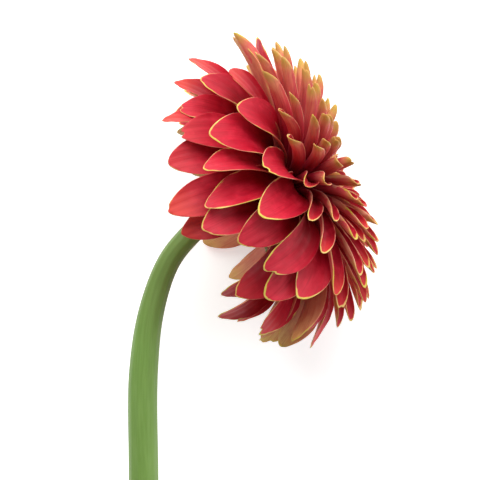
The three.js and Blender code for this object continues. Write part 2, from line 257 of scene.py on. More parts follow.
# Stem: its middle line, in plan from the head's centre and in height above the surface.
STEM_START = -20.8  # height of its end in the head's frame
STEM_LEAD = 3  # it follows the head's axis this far
STEM_LINE = [
    (-31.4, -16.3, 36.9), (-38.2, -25, 36), (-43.7, -40.4, 34.4), (-46.4, -60, 32.4),
    (-46.6, -93.4, 28.5), (-46, -190, 17), (-44, -290, 5.1),
]
NECK_RADIUS = 3.5
STEM_SWELL = 1.1  # the stem grows by this between two shares of its length
SWELL_FROM = 0.06
SWELL_TO = 0.24
STEM_TAPER = 0.6  # and by this, evenly, from the neck to the cut end
NECK_FLARE = 0.4  # more at its very start, where it carries the involucre
FLARE_SHARE = 0.04
CUT_SLANT = math.tan(math.radians(30))  # the cut end leans back this much
SLANT_SHARE = 0.06  # and the last rings lean over to it by degrees
STEM_RIBS = ((0.05, 11, 0), (0.03, 5, 1))  # each set's height, number round the stem, and turn
STEM_OVAL = 0.04  # how far it is out of round
OVAL_SWING = 40  # radians by which that comes and goes along it
STEM_SINK = 0.6  # its skin starts this far inside the involucre
PITH_DEPTH = 0.35  # how far the pith has sunk in the cut end
PITH_EDGE = (0.95, 0.6)  # shares of the stem's radius between which it sinks

# The photograph's view: straight down on the flower, as it lies.
PHOTO_SIZE = 480  # pixels, square
MM_PER_PIXEL = 0.32  # at the head's centre
HEAD_PIXEL = (288, 184)  # where the head's centre shows
CAMERA_DISTANCE = 620  # from the head's centre
SENSOR = 36  # the camera's, in millimetres across

# How finely the meshes are divided.
MIDRIB_STEPS = 240
CURVE_STEPS = 200  # between two knots
ROUND = np.linspace(0, 2 * np.pi, 97)  # angles of the 96 sides of all that is round
TURN_RINGS = 60
STEM_RINGS = 300
CUT_RINGS = 24


def unit(vectors):
    """The same vectors, each made 1 long."""
    return vectors / np.linalg.norm(vectors, axis=-1, keepdims=True)


IN_PLAN = math.cos(AXIS_RISE)  # how long the axis is as seen in plan
AXIS = np.array([math.cos(AXIS_TURN) * IN_PLAN, math.sin(AXIS_TURN) * IN_PLAN, math.sin(AXIS_RISE)])
UP = unit(np.array([0, 0, 1]) - AXIS * AXIS[2])
ACROSS = np.cross(AXIS, UP)


def smooth_step(low, high, values):
    """Smoothly from 0 to 1 as values go from low to high."""
    share = np.clip((values - low) / (high - low), 0, 1)
    return share * share * (3 - 2 * share)


# Each thing that varies from petal to petal, and the number for its draws.
DRAWS = dict(
    shift=1, length=2, width=3, root_rise=4, tip_rise=5, roll=6, sway=7,
    notch=11, notch_place=12, notch_depth=13, nick=14, nick_place=15, nick_depth=16,
    first_curl=17, second_curl=18, wave=19, waves=20, phase=21, crease=22, hood=23,
    first_rim=24, tip_rim=25, second_rim=26, orange=27, point=28, tone=31,
)
DRAW_STEPS = (127.1, 311.7, 74.7)  # by whorl, index and number
DRAW_SCATTER = 43758.5453


def draw(whorl, index, thing):
    """A repeatable draw from -1 to 1 for a thing that varies, by the petal's place in the head."""
    by_whorl, by_index, by_number = DRAW_STEPS
    scattered = math.sin(whorl * by_whorl + index * by_index + DRAWS[thing] * by_number) * DRAW_SCATTER
    return 2 * (scattered - math.floor(scattered)) - 1


def around(pair, drawn):
    """The middle value of a pair, moved as far as the draw says."""
    middle, spread = pair
    return middle + spread * drawn


def press(points):
    """Bends points along the surface, forwards or back, as they come near it."""
    depth = HEAD_CENTRE[2] - points[..., 2] - PRESS_START
    near = depth > 0
    kept = np.where(near, PRESS_ROOM * (1 - np.exp(-np.maximum(depth, 0) / PRESS_ROOM)), depth)
    height = (points - HEAD_CENTRE) @ AXIS
    way = np.clip((height - PARTING) / PARTING_WIDTH, -1, 1)
    pressed = points + (way * (depth - kept) * near)[..., None] * AXIS
    level = np.maximum(LOWEST_MIDDLE, HEAD_CENTRE[2] - PRESS_START - kept)
    pressed[..., 2] = np.where(near, level, pressed[..., 2])
    return pressed


def above_surface(points):
    """The same points, with those that are too low raised to just above the surface."""
    raised = points.copy()
    raised[..., 2] = np.maximum(points[..., 2], LOWEST)
    return raised


def petal_of(whorl, index):
    """One petal's own values: where it points, and how it leans, rolls and sways."""
    row = WHORLS[whorl]
    form = BROAD if whorl < FIRST_NARROW else NARROW
    vary = partial(draw, whorl, index)
    turn, lift, size, roll = STRAYS.get((whorl, index), (0, 0, 1, 0))
    place = index + form["shift"] * vary("shift")
    azimuth = math.radians(row["turn"] + turn + (360 / row["count"]) * place)
    away = -math.sin(azimuth)  # 1 on the side that is far from the cut end
    under = max(0, -math.cos(azimuth))  # 1 on the side that lies on the surface
    by_place = (1, away, away * away, under)
    roll += around(form["roll"], vary("roll"))
    roll += form["roll_far"] * max(0, away) + form["roll_near"] * max(0, -away)
    reach = np.dot(form["reach"], by_place) * around(LENGTH_FACTOR, vary("length"))
    lean = np.dot(form["lean"], by_place) + form["tip_rise"] * vary("tip_rise")
    rim = rim_of(whorl, index, form)
    slender = rim[3] > SLENDER_FROM
    root_rise, tip_rise = row["rise"]
    return dict(
        azimuth=azimuth,
        root=row["root"],
        length=row["length"] * reach * size,
        width=row["width"] * around(WIDTH_FACTOR, vary("width")),
        rise=(root_rise + ROOT_RISE * vary("root_rise"), tip_rise + lean + lift),
        cup=row["cup"],
        roll=math.radians(roll),
        sway=SWAY * vary("sway"),
        foot=form["foot"],
        taper=TAPER,
        blunt=form["blunt"],
        place=(whorl, index),
        rim=rim,
        **petal_detail(form, vary, slender),
    )


def rim_of(whorl, index, form):
    """Widths of a petal's rim along one margin, at the tip and along the other, and its orange."""
    if (whorl, index) in RIMS:
        return RIMS[(whorl, index)]
    row = WHORLS[whorl]
    near = max(0, math.sin(math.radians(row["turn"] + 360 / row["count"] * index)))
    drawn = [draw(whorl, index, thing) for thing in ("first_rim", "tip_rim", "second_rim", "orange")]
    first, tip, second, orange = (around(pair, value) for pair, value in zip(form["rim"], drawn))
    return first + form["rim_near"] * near, tip, second, max(0, orange)


def petal_detail(form, vary, slender):
    """What only the fine petal has: its tip's notches and shape, raised margins, waves and folds."""
    notches = []
    for name, least in form["notches"]:
        if vary(name) > least and not slender:
            aside, depth = NOTCHES[name]
            notches.append((aside * vary(name + "_place"), depth * (1 + vary(name + "_depth"))))
    first_curl, second_curl = form["curl"]
    return dict(
        notches=notches,
        point=SLENDER_POINT if slender else around(POINT, vary("point")),
        curl=(around(first_curl, vary("first_curl")), around(second_curl, vary("second_curl"))),
        wave=form["wave"] * around(WAVE_FACTOR, vary("wave")),
        waves=around(WAVES, vary("waves")),
        phase=vary("phase"),
        crease=around(form["crease"], max(0, vary("crease"))),
        ribs=form["ribs"],
        hood=around(form["hood"], vary("hood")),
        thickness=form["thickness"],
    )


def bract_of(row_number, index):
    """One bract's own values."""
    row = BRACT_ROWS[row_number]
    whorl = len(WHORLS) + row_number
    vary = partial(draw, whorl, index)
    place = index + BRACT_SHIFT * vary("shift")
    root_rise, tip_rise = row["rise"]
    return dict(
        BRACT,
        azimuth=math.radians(row["turn"] + (360 / row["count"]) * place),
        root=row["root"],
        length=row["length"] * around(LENGTH_FACTOR, vary("length")),
        rise=(root_rise + BRACT_ROOT * vary("root_rise"), tip_rise + BRACT_TIP * vary("tip_rise")),
        sway=SWAY * vary("sway"),
        place=(whorl, index),
        phase=vary("phase"),
    )


CURL = 1.15  # over 1, a petal bends more towards its tip
WIDEST = 0.62  # the share of its length at which a petal is widest
GROWN = (0.12, 0.5)  # shares of the length between which its margins, waves and ribs grow
MARGIN_POWER = 7  # higher keeps what is raised closer to the margin
WAVE_APART = 1.3  # radians by which each margin's waves are shifted, one way and the other
CREASE_WIDTH = 0.16  # as a share of half the width
RIB_TURNS = 4.6 * math.pi  # radians of ribs over half the width
HOODED = (0.78, 1.02)  # shares of the length between which the tip bends to the front
HOOD_POWER = 1.5


def outline(petal, reach):
    """Half width of a petal along its length, as a share of its greatest half width."""
    grow = np.sin(np.pi / 2 * np.minimum(1, reach / WIDEST))
    fade = np.maximum(0, (reach - WIDEST) / (1 - WIDEST))
    return (petal["foot"] + (1 - petal["foot"]) * grow) * (1 - petal["taper"] * fade * fade)


def relief(petal, reach, side):
    """How far a petal's surface stands off its plain form, towards the flower's front."""
    grown = smooth_step(*GROWN, reach)
    left, right = petal["curl"]
    raised = np.where(side < 0, left, right) * np.abs(side) ** MARGIN_POWER * grown
    swing = np.sin(2 * np.pi * (petal["waves"] * reach + petal["phase"]) + WAVE_APART * np.sign(side))
    waved = petal["wave"] * swing * side ** 2 * np.sign(side) * grown
    creased = -petal["crease"] * np.exp(-(side / CREASE_WIDTH) ** 2) * np.sin(np.pi * reach) ** 0.5
    ribs = np.cos(RIB_TURNS * side + 3 * petal["phase"])
    ribbed = petal["ribs"] * ribs * (1 - np.abs(side) ** 6) * grown
    hooded = petal["hood"] * smooth_step(*HOODED, reach) ** HOOD_POWER
    return raised + waved + creased + ribbed + hooded


POINT_POWER = 1.3  # how straight the two sides of a pointed tip are
POINT_SOFTNESS = 0.1  # as a share of half the width
NOTCH_WIDTH = 0.13  # as a share of half the width
NOTCH_POWER = 12  # how close to the tip a notch stays


def petal_surface(petal, along, side):
    """A petal's middle surface: side runs from -1 to 1 across it, and along from 0 to 1."""
    rounded = 1 - np.sqrt(np.maximum(0, 1 - side * side))
    pointed = np.hypot(side, POINT_SOFTNESS) ** POINT_POWER
    reach = along * (1 - petal["blunt"] * (rounded + petal["point"] * (pointed - rounded)))
    for centre, depth in petal["notches"]:
        notch = np.exp(-((side - centre) / NOTCH_WIDTH) ** 2) * along ** NOTCH_POWER
        reach = reach * (1 - depth * notch)
    share = np.linspace(0, 1, MIDRIB_STEPS + 1)
    low, high = (math.radians(a) for a in petal["rise"])
    angles = low + (high - low) * ((share[1:] + share[:-1]) / 2) ** CURL
    step = petal["length"] / MIDRIB_STEPS
    radius = np.interp(reach, share, petal["root"][0] + step * np.append(0, np.cumsum(np.cos(angles))))
    height = np.interp(reach, share, petal["root"][1] + step * np.append(0, np.cumsum(np.sin(angles))))
    angle = (low + (high - low) * reach ** CURL)[..., None]
    radial = UP * math.cos(petal["azimuth"]) + ACROSS * math.sin(petal["azimuth"])
    flat = np.cross(AXIS, radial)
    face = AXIS * np.cos(angle) - radial * np.sin(angle)
    roll = (petal["roll"] * np.sin(np.pi / 2 * reach))[..., None]
    sideways = flat * np.cos(roll) + face * np.sin(roll)
    facing = face * np.cos(roll) - flat * np.sin(roll)
    cup = petal["cup"][0] + (petal["cup"][1] - petal["cup"][0]) * reach
    half = petal["width"] / 2 * outline(petal, reach)
    middle = HEAD_CENTRE + radial * radius[..., None] + AXIS * height[..., None]
    sway = petal["sway"] * petal["length"] * reach ** 2
    lift = half * (1 - np.cos(cup * side)) / cup + relief(petal, reach, side)
    out = half * np.sin(cup * side) / cup
    return middle + flat * sway[..., None] + sideways * out[..., None] + facing * lift[..., None], reach


MARGIN_CROWDING = 0.7  # how much the columns crowd towards a petal's margins
TIP_CROWDING = 0.9  # under 1, the rows crowd towards its tip
MARGIN_THINNING = 0.35  # share of the thickness that is lost at the margins
TIP_THINNING = 0.25  # and at the tip
BORDER_THICKNESS = 0.6  # what is left of the thickness just inside the soft rim
TIP_SHARE = 0.8  # from this share of the length, the rim takes on its width at the tip
RIM_GROWN = (0.15, 0.6)  # shares of the length between which the rim comes in
ORANGE_SHARE = 0.72  # from this share of the length, the tip turns orange


def border_of(rows, columns):
    """Rows and columns of the points up one margin of a sheet, over its tip and down the other."""
    border = [(row, 0) for row in range(rows)]
    border += [(rows, column) for column in range(columns + 1)]
    border += [(row, columns) for row in range(rows - 1, -1, -1)]
    return np.array(border).T


def petal_sheets(petal, rows, columns):
    """The front and back sheets of a petal as grids of points, its rim, and what its material reads."""
    along = np.linspace(0, 1, rows + 1) ** TIP_CROWDING
    evenly = np.linspace(-1, 1, columns + 1)
    crowded = evenly * (1 - MARGIN_CROWDING) + np.sin(np.pi / 2 * evenly) * MARGIN_CROWDING
    along, side = np.meshgrid(along, crowded, indexing="ij")
    points, reach = petal_surface(petal, along, side)
    points = press(points)
    normal = unit(np.cross(np.gradient(points, axis=0), np.gradient(points, axis=1)))
    thick = petal["thickness"] / 2 * (1 - MARGIN_THINNING * side ** 2) * (1 - TIP_THINNING * reach)
    border_rows, border_columns = border_of(rows, columns)
    inner_rows = np.minimum(border_rows, rows - 1)
    inner_columns = np.clip(border_columns, 1, columns - 1)
    border_points = points[border_rows, border_columns]
    outward = unit(border_points - points[inner_rows, inner_columns])
    rim = border_points + outward * thick[border_rows, border_columns][:, None]
    thick[border_rows, border_columns] *= BORDER_THICKNESS
    gaps = np.linalg.norm(points[:, :, None, :] - border_points[None, None, :, :], axis=-1)
    first, tip, second, orange = petal["rim"]
    at_tip = smooth_step(TIP_SHARE, 1, along) * (1 - side ** 4)
    rim_width = np.where(side < 0, first, second) * (1 - at_tip) + tip * at_tip
    return dict(
        front=points + normal * thick[..., None],
        back=points - normal * thick[..., None],
        rim=rim,
        ring=border_rows * (columns + 1) + border_columns,
        side=side,
        values=dict(
            edge=gaps.min(axis=2),
            along=reach,
            across=side * petal["width"] / 2 * outline(petal, reach),
            distance=reach * petal["length"],
            from_tip=(1 - reach) * petal["length"],
            rim_width=rim_width * smooth_step(*RIM_GROWN, along),
            warm=orange * smooth_step(ORANGE_SHARE, 1, reach),
        ),
    )


class Build:
    """Gathers the points, faces, baking map and named values of one piece, then makes its mesh."""

    def __init__(self, cells=1):
        self.points = []
        self.faces = []
        self.corners = []
        self.values = {}
        self.total = 0
        self.cells_across = math.ceil(math.sqrt(cells))
        self.cell = 0

    def next_cell(self):
        """The corner and size of the next free square of the baking map."""
        row, column = divmod(self.cell, self.cells_across)
        self.cell += 1
        size = 1 / self.cells_across
        return np.array([column * size, row * size]), size

    def add_points(self, points, **values):
        """Adds points with their named values, and says the number of the first."""
        start = self.total
        points = np.asarray(points, float).reshape(-1, 3)
        self.points.append(points)
        self.total += len(points)
        for name, value in values.items():
            self.values.setdefault(name, []).append(np.broadcast_to(value, len(points)).astype(float))
        return start

    def add_faces(self, faces, map_points):
        """faces is rows of point numbers, and map_points their places on the baking map."""
        self.faces.append(np.asarray(faces))
        self.corners.append(np.asarray(map_points, float).reshape(-1, 2))

    def make(self, name, material, node):
        """Makes the piece with its material, in place of a node, which it hides."""
        points = np.concatenate(self.points)
        mesh = bpy.data.meshes.new(name)
        mesh.from_pydata(points * MM, [], [list(face) for group in self.faces for face in group])
        uv = mesh.uv_layers.new(name="OFBake")
        uv.data.foreach_set("uv", np.concatenate(self.corners).ravel())
        for key, parts in self.values.items():
            attribute = mesh.attributes.new(key, "FLOAT", "POINT")
            attribute.data.foreach_set("value", np.concatenate(parts))
        mesh.shade_smooth()
        mesh.materials.append(material)
        piece = bpy.data.objects.new(name, mesh)
        bpy.context.scene.collection.objects.link(piece)
        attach(piece, BODY)
        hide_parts(node)


CELL_MARGIN = 0.04  # of a baking cell, kept free round each sheet
RIM_MAP = 0.03  # how far the rim's place on the baking map stands off its sheet's
SHEETS = (("front", 1), ("back", 0))  # and what the material reads as their face
RIM_FACE = 0.5


def grid_faces(rows, columns):
    """Quads of a grid of points numbered row by row."""
    row, column = np.meshgrid(np.arange(rows), np.arange(columns), indexing="ij")
    low = (row * (columns + 1) + column).ravel()
    high = low + columns + 1
    return np.stack([low, low + 1, high + 1, high], axis=1)


def add_petal(build, petal, grid):
    """Adds one fine petal: two sheets a little apart, joined round a soft rim."""
    rows, columns = grid
    sheets = petal_sheets(petal, rows, columns)
    ring = sheets["ring"]
    values = {key: value.ravel() for key, value in sheets["values"].items()}
    tone = draw(*petal["place"], "tone")
    map_across = (sheets["side"] + 1) / 2
    map_along = np.broadcast_to(np.linspace(0, 1, rows + 1)[:, None], map_across.shape)
    flat_map = np.stack([map_across, map_along], axis=-1).reshape(-1, 2)
    quads = grid_faces(rows, columns)
    starts = {}
    maps = {}
    for key, face in SHEETS:
        starts[key] = build.add_points(above_surface(sheets[key]), **values, face=face, tone=tone)
        corner, size = build.next_cell()
        maps[key] = corner + size * (CELL_MARGIN + (1 - 2 * CELL_MARGIN) * flat_map)
        turned = quads[:, ::-1] if face else quads
        build.add_faces(starts[key] + turned, maps[key][turned])
    at_rim = {key: value[ring] for key, value in values.items()}
    rim_start = build.add_points(above_surface(sheets["rim"]), **at_rim, face=RIM_FACE, tone=tone)
    off_sheet = (flat_map[ring] - 0.5) * RIM_MAP / build.cells_across
    here = np.arange(len(ring) - 1)
    for key, face in SHEETS:
        sheet = starts[key] + ring
        faces = np.stack([sheet[here], rim_start + here, rim_start + here + 1, sheet[here + 1]], axis=1)
        inner = maps[key][ring]
        outer = inner + off_sheet
        places = np.stack([inner[here], outer[here], outer[here + 1], inner[here + 1]], axis=1)
        if not face:
            faces, places = faces[:, ::-1], places[:, ::-1]
        build.add_faces(faces, places)


def add_whorl(whorl, material):
    """One whorl of fine petals as a piece."""
    form, name = BROAD, f"broad_petals_{whorl + 1}"
    if whorl >= FIRST_NARROW:
        form, name = NARROW, f"narrow_petals_{whorl - FIRST_NARROW + 1}"
    count = WHORLS[whorl]["count"]
    build = Build(cells=2 * count)
    for index in range(count):
        add_petal(build, petal_of(whorl, index), form["grid"])
    build.make(name, material, "petals")


def linear(colour):
    """A colour given as 0 to 255 on a screen, for a shader."""
    def channel(value):
        value /= 255
        return value / 12.92 if value <= 0.04045 else ((value + 0.055) / 1.055) ** 2.4
    return (*(channel(value) for value in colour), 1)


class Nodes:
    """Short calls for the nodes of one material."""

    def __init__(self, name):
        self.material = bpy.data.materials.new(name)
        self.material.use_nodes = True
        self.tree = self.material.node_tree
        self.shader = self.tree.nodes["Principled BSDF"]
        self.read = {}

    def feed(self, socket, value):
        """Gives a socket a value, or links it to another node's output."""
        if isinstance(value, bpy.types.NodeSocket):
            self.tree.links.new(value, socket)
        else:
            socket.default_value = value

    def settings(self, inputs):
        """Gives the shader's own sockets their values or links."""
        for name, value in inputs.items():
            self.feed(self.shader.inputs[name], value)

    def node(self, kind, inputs):
        """A new node, with values or links for its inputs by their names or numbers."""
        node = self.tree.nodes.new("ShaderNode" + kind)
        for key, value in inputs.items():
            self.feed(node.inputs[key], value)
        return node

    def value(self, name):
        """A value that the mesh holds at each of its points."""
        if name not in self.read:
            node = self.node("Attribute", {})
            node.attribute_name = name
            self.read[name] = node.outputs["Fac"]
        return self.read[name]

    def math(self, operation, first, second=0.0):
        node = self.node("Math", {0: first, 1: second})
        node.operation = operation
        return node.outputs[0]

    def plus(self, first, second):
        return self.math("ADD", first, second)

    def minus(self, first, second):
        return self.math("SUBTRACT", first, second)

    def times(self, first, second):
        return self.math("MULTIPLY", first, second)

    def between(self, value, low, high, to_low=0.0, to_high=1.0):
        """Smoothly from to_low to to_high as value goes from low to high."""
        ends = {"From Min": low, "From Max": high, "To Min": to_low, "To Max": to_high}
        node = self.node("MapRange", {"Value": value, **ends})
        node.interpolation_type = "SMOOTHSTEP"
        return node.outputs["Result"]

    def joined(self, x, y, z):
        """Three values as one place, for a noise."""
        return self.node("CombineXYZ", {"X": x, "Y": y, "Z": z}).outputs[0]

    def noise(self, place, scale=1.0, detail=2.0, roughness=0.5):
        """A noise from 0 to 1 at a place."""
        inputs = {"Vector": place, "Scale": scale, "Detail": detail, "Roughness": roughness}
        return self.node("TexNoise", inputs).outputs["Fac"]

    def ramp(self, value, stops):
        """A colour that goes through the stops, each a place and a colour, as value goes from 0 to 1."""
        node = self.node("ValToRGB", {"Fac": value})
        elements = node.color_ramp.elements
        for place, *_ in stops[2:]:
            elements.new(place)
        for element, (place, *colour) in zip(elements, stops):
            element.position = place
            element.color = linear(colour)
        return node.outputs["Color"]

    def blend(self, share, first, second):
        """The first colour, with a share of the second."""
        node = self.node("Mix", {"Factor": share})
        node.data_type = "RGBA"
        first_socket, second_socket = (socket for socket in node.inputs if socket.type == "RGBA")
        self.feed(first_socket, first)
        self.feed(second_socket, second)
        return next(socket for socket in node.outputs if socket.type == "RGBA")

    def tint(self, first, colour, value, low, high, most=1.0):
        """The first colour, with up to most of a plain one as value goes from low to high."""
        return self.blend(self.between(value, low, high, 0.0, most), first, linear(colour))

    def bump(self, height, strength, distance):
        """Relief that only the light sees, up to a distance in metres."""
        node = self.node("Bump", {"Strength": strength, "Distance": distance, "Height": height})
        self.settings({"Normal": node.outputs["Normal"]})


# The looks of both kinds of petals, in colours from 0 to 255. Front and back are stops along the
# petal, from its root at 0 to its tip at 1; the front's darkening towards the root is painted shade.
# Rim is stops by a noise, and ripeness is how far the back's tip turns to the ripe colour.
BROAD_LOOK = dict(
    front=[
        (0.06, 132, 0, 16), (0.3, 160, 0, 24), (0.55, 172, 4, 34),
        (0.8, 182, 26, 48), (1.0, 194, 44, 60),
    ],
    # painted sheen: the pale colour of the sheen patches, also that of the real pale streaks
    bloom=(210, 42, 64),
    back=[(0.05, 140, 24, 40), (0.4, 196, 84, 82), (0.75, 222, 152, 112), (1.0, 228, 198, 124)],
    blush=(176, 50, 58),
    flush=(216, 136, 100),
    tint=(210, 112, 96),
    ripeness=0.3,
    rim=[(0.0, 206, 190, 78), (1.0, 234, 208, 128)],
    hem=(226, 140, 122),
)
NARROW_LOOK = dict(
    front=[(0.06, 112, 0, 14), (0.3, 126, 0, 18), (0.6, 142, 2, 26), (1.0, 168, 12, 40)],
    # painted sheen: the pale colour of the sheen patches, also that of the real pale streaks
    bloom=(196, 36, 58),
    back=[
        (0.1, 150, 4, 28), (0.42, 196, 34, 58), (0.66, 232, 116, 108),
        (0.88, 236, 160, 120), (1.0, 206, 188, 80),
    ],
    blush=(196, 52, 72),
    flush=(186, 36, 58),
    tint=(222, 84, 98),
    ripeness=0.7,
    rim=[(0.0, 198, 178, 72), (0.35, 222, 152, 112), (1.0, 232, 172, 142)],
    hem=(222, 140, 116),
)

# Colours that both kinds share.
VEIN = (128, 2, 22)
SHADE = (138, 4, 26)
ORANGE = (214, 72, 54)
RIPE = (208, 184, 86)
RIM_TIP = (206, 190, 78)
RIM_INSIDE = (214, 92, 84)
RIM_ROOT = (214, 120, 110)

# The noises over a petal: how fine each is across and along it, per millimetre, and its detail.
GRAINS = dict(
    streaks=(1.5, 0.07, 3.0),
    veins=(3.4, 0.1, 2.0),
    clouds=(0.16, 0.1, 2.0),
    patches=(0.3, 0.22, 3.0),
    swells=(0.13, 0.19, 1.0),
)
PETALS_APART = 37.0  # how far apart in the noises two petals can lie
BRACTS_APART = 19.0


def petal_grains(nodes):
    """The noises over a petal by name, different on each petal."""
    own = nodes.times(nodes.value("tone"), PETALS_APART)
    grains = {}
    for name, (fine_across, fine_along, detail) in GRAINS.items():
        across = nodes.times(nodes.value("across"), fine_across)
        along = nodes.times(nodes.value("distance"), fine_along)
        grains[name] = nodes.noise(nodes.joined(across, along, own), detail=detail, roughness=0.55)
    return grains


def front_colour(nodes, look, grains, stretch):
    """Red deepening in painted shade at the root, with painted sheen, pale streaks, dark veins, warm
    tips.
    """
    tone = nodes.value("tone")
    # Painted shade: the ramp darkens the front towards the root, where the petals crowd.
    colour = nodes.ramp(stretch, look["front"])
    # Painted sheen: pale patches over the outer part of the front.
    patches = nodes.between(grains["patches"], 0.42, 0.72, 0.0, 0.6)
    outer = nodes.between(nodes.value("along"), 0.2, 0.6)
    colour = nodes.blend(nodes.times(patches, outer), colour, linear(look["bloom"]))
    colour = nodes.tint(colour, look["bloom"], grains["streaks"], 0.5, 0.75, 0.25)
    colour = nodes.tint(colour, VEIN, grains["veins"], 0.5, 0.72, 0.3)
    colour = nodes.tint(colour, SHADE, tone, -0.2, -1.0, 0.3)
    warm = nodes.times(nodes.value("warm"), nodes.between(grains["streaks"], 0.2, 0.7, 0.6, 1.0))
    return nodes.blend(warm, colour, linear(ORANGE))


def back_colour(nodes, look, grains, stretch):
    """Salmon with blushed veins and patches, flushed margins and a ripe tip."""
    edge, along, tone = (nodes.value(key) for key in ("edge", "along", "tone"))
    colour = nodes.ramp(stretch, look["back"])
    colour = nodes.tint(colour, look["blush"], grains["veins"], 0.45, 0.7, 0.45)
    colour = nodes.tint(colour, look["blush"], grains["patches"], 0.45, 0.75, 0.35)
    flush = nodes.times(nodes.between(edge, 1.7, 0.3, 0.0, 0.75), nodes.between(along, 0.98, 0.8))
    colour = nodes.blend(flush, colour, linear(look["flush"]))
    colour = nodes.tint(colour, look["tint"], tone, 0.0, 1.0, 0.45)
    from_tip = nodes.plus(nodes.value("from_tip"), nodes.times(grains["clouds"], 4.0))
    return nodes.tint(colour, RIPE, from_tip, 8.0, 2.5, look["ripeness"])


def rim_look(nodes, look, grains):
    """How much of the rim shows at a point, and its colour there."""
    along = nodes.value("along")
    ragged = nodes.times(nodes.minus(grains["streaks"], 0.5), 0.5)
    swelling = nodes.between(grains["swells"], 0.36, 0.64, 0.35, 1.45)
    width = nodes.times(nodes.value("rim_width"), swelling)
    inside = nodes.math("DIVIDE", nodes.plus(nodes.value("edge"), ragged), nodes.plus(width, 0.02))
    share = nodes.times(nodes.between(inside, 1.25, 0.6), nodes.between(width, 0.03, 0.2))
    colour = nodes.ramp(nodes.between(grains["clouds"], 0.35, 0.65), look["rim"])
    colour = nodes.tint(colour, look["hem"], width, 0.5, 0.18, 0.9)
    colour = nodes.tint(colour, RIM_TIP, along, 0.82, 0.97, 0.6)
    colour = nodes.tint(colour, RIM_INSIDE, inside, 0.5, 1.15, 0.8)
    colour = nodes.tint(colour, RIM_ROOT, along, 0.75, 0.35)
    return share, colour


def petal_material(name, look):
    """A satin petal with a red front, a paler back, and a rim along its margins."""
    nodes = Nodes(name)
    grains = petal_grains(nodes)
    stretch = nodes.plus(nodes.value("along"), nodes.times(nodes.minus(grains["clouds"], 0.5), 0.3))
    front = front_colour(nodes, look, grains, stretch)
    back = back_colour(nodes, look, grains, stretch)
    share, rim = rim_look(nodes, look, grains)
    colour = nodes.blend(nodes.between(nodes.value("face"), 0.4, 0.6), back, front)
    nodes.settings({
        "Base Color": nodes.blend(share, colour, rim),
        "Roughness": nodes.between(grains["streaks"], 0.2, 0.8, 0.42, 0.56),
        "Specular IOR Level": 0.22,
        "Subsurface Weight": 0.12,
        "Subsurface Radius": (1.0, 0.25, 0.2),
        "Subsurface Scale": 0.8 * MM,
        "Sheen Weight": 0.06,
        "Sheen Roughness": 0.4,
        "Sheen Tint": linear((255, 120, 120)),
    })
    relief_height = nodes.plus(nodes.times(grains["veins"], 0.6), nodes.times(grains["streaks"], 0.4))
    nodes.bump(relief_height, strength=0.5, distance=0.12 * MM)
    return nodes.material


# Painted shade: a darker olive where each green part starts, next to the flower, where the head shades
# it.
PAINTED_SHADE_AT_START = (98, 112, 52)  # olive next to the flower


def green_material(name, dark, light, pale):
    """Fresh green with fine streaks along it, pale clouds, and painted shade where it starts."""
    nodes = Nodes(name)
    along, across, distance, tone = (nodes.value(key) for key in ("along", "across", "distance", "tone"))
    fine = nodes.joined(across, nodes.times(distance, 0.06), nodes.times(tone, BRACTS_APART))
    streaks = nodes.noise(fine, scale=1.4, detail=3.0, roughness=0.6)
    clouds = nodes.noise(nodes.joined(nodes.times(across, 0.1), nodes.times(distance, 0.03), tone))
    colour = nodes.tint(linear(dark), light, streaks, 0.3, 0.7)
    colour = nodes.tint(colour, pale, clouds, 0.35, 0.7, 0.4)
    colour = nodes.tint(colour, light, along, 0.0, 1.0, 0.25)
    nodes.settings({
        # painted shade at the start of each green part, next to the flower
        "Base Color": nodes.tint(colour, PAINTED_SHADE_AT_START, along, 0.2, 0.1, 0.4),
        "Roughness": 0.5,
        "Specular IOR Level": 0.35,
        "Subsurface Weight": 0.1,
        "Subsurface Radius": (0.5, 1.0, 0.2),
        "Subsurface Scale": 1.0 * MM,
    })
    nodes.bump(streaks, strength=0.4, distance=0.1 * MM)
    return nodes.material


def add_rings(name, points, flat_map, material, node, **values):
    """A piece made of rings of points. Its values are single numbers, or vary by ring or round it."""
    build = Build()
    spread = {key: np.broadcast_to(value, points.shape[:2]).ravel() for key, value in values.items()}
    build.add_points(points, **spread)
    quads = grid_faces(points.shape[0] - 1, points.shape[1] - 1)
    build.add_faces(quads, flat_map.reshape(-1, 2)[quads])
    build.make(name, material, node)


# What the petal material reads on the receptacle: a front far from any margin, with no rim.
PLAIN_FRONT = dict(edge=3, from_tip=30, rim_width=0, warm=0, face=1, tone=0.3)


def add_turned(name, profile, material, node):
    """A solid of revolution round the head's axis, through the points of a (radius, height) profile."""
    profile = np.array(profile, float)
    knots = np.append(0, np.cumsum(np.linalg.norm(np.diff(profile, axis=0), axis=1)))
    share = np.linspace(0, 1, TURN_RINGS + 1)[:, None]
    distance = share * knots[-1]
    radius = np.interp(distance, knots, profile[:, 0])
    height = np.interp(distance, knots, profile[:, 1])
    spokes = np.outer(np.cos(ROUND), UP) + np.outer(np.sin(ROUND), ACROSS)
    points = HEAD_CENTRE + spokes * radius[..., None] + AXIS * height[..., None]
    flat_map = np.stack(np.broadcast_arrays(ROUND / (2 * np.pi), share), axis=-1)
    values = dict(along=share, across=radius * ROUND, distance=distance)
    add_rings(name, points, flat_map, material, node, **values, **PLAIN_FRONT)


def add_bracts(material):
    """All the bracts as one piece."""
    build = Build(cells=2 * sum(row["count"] for row in BRACT_ROWS))
    for number, row in enumerate(BRACT_ROWS):
        for index in range(row["count"]):
            add_petal(build, bract_of(number, index), BRACT_GRID)
    build.make("bracts", material, "involucre")


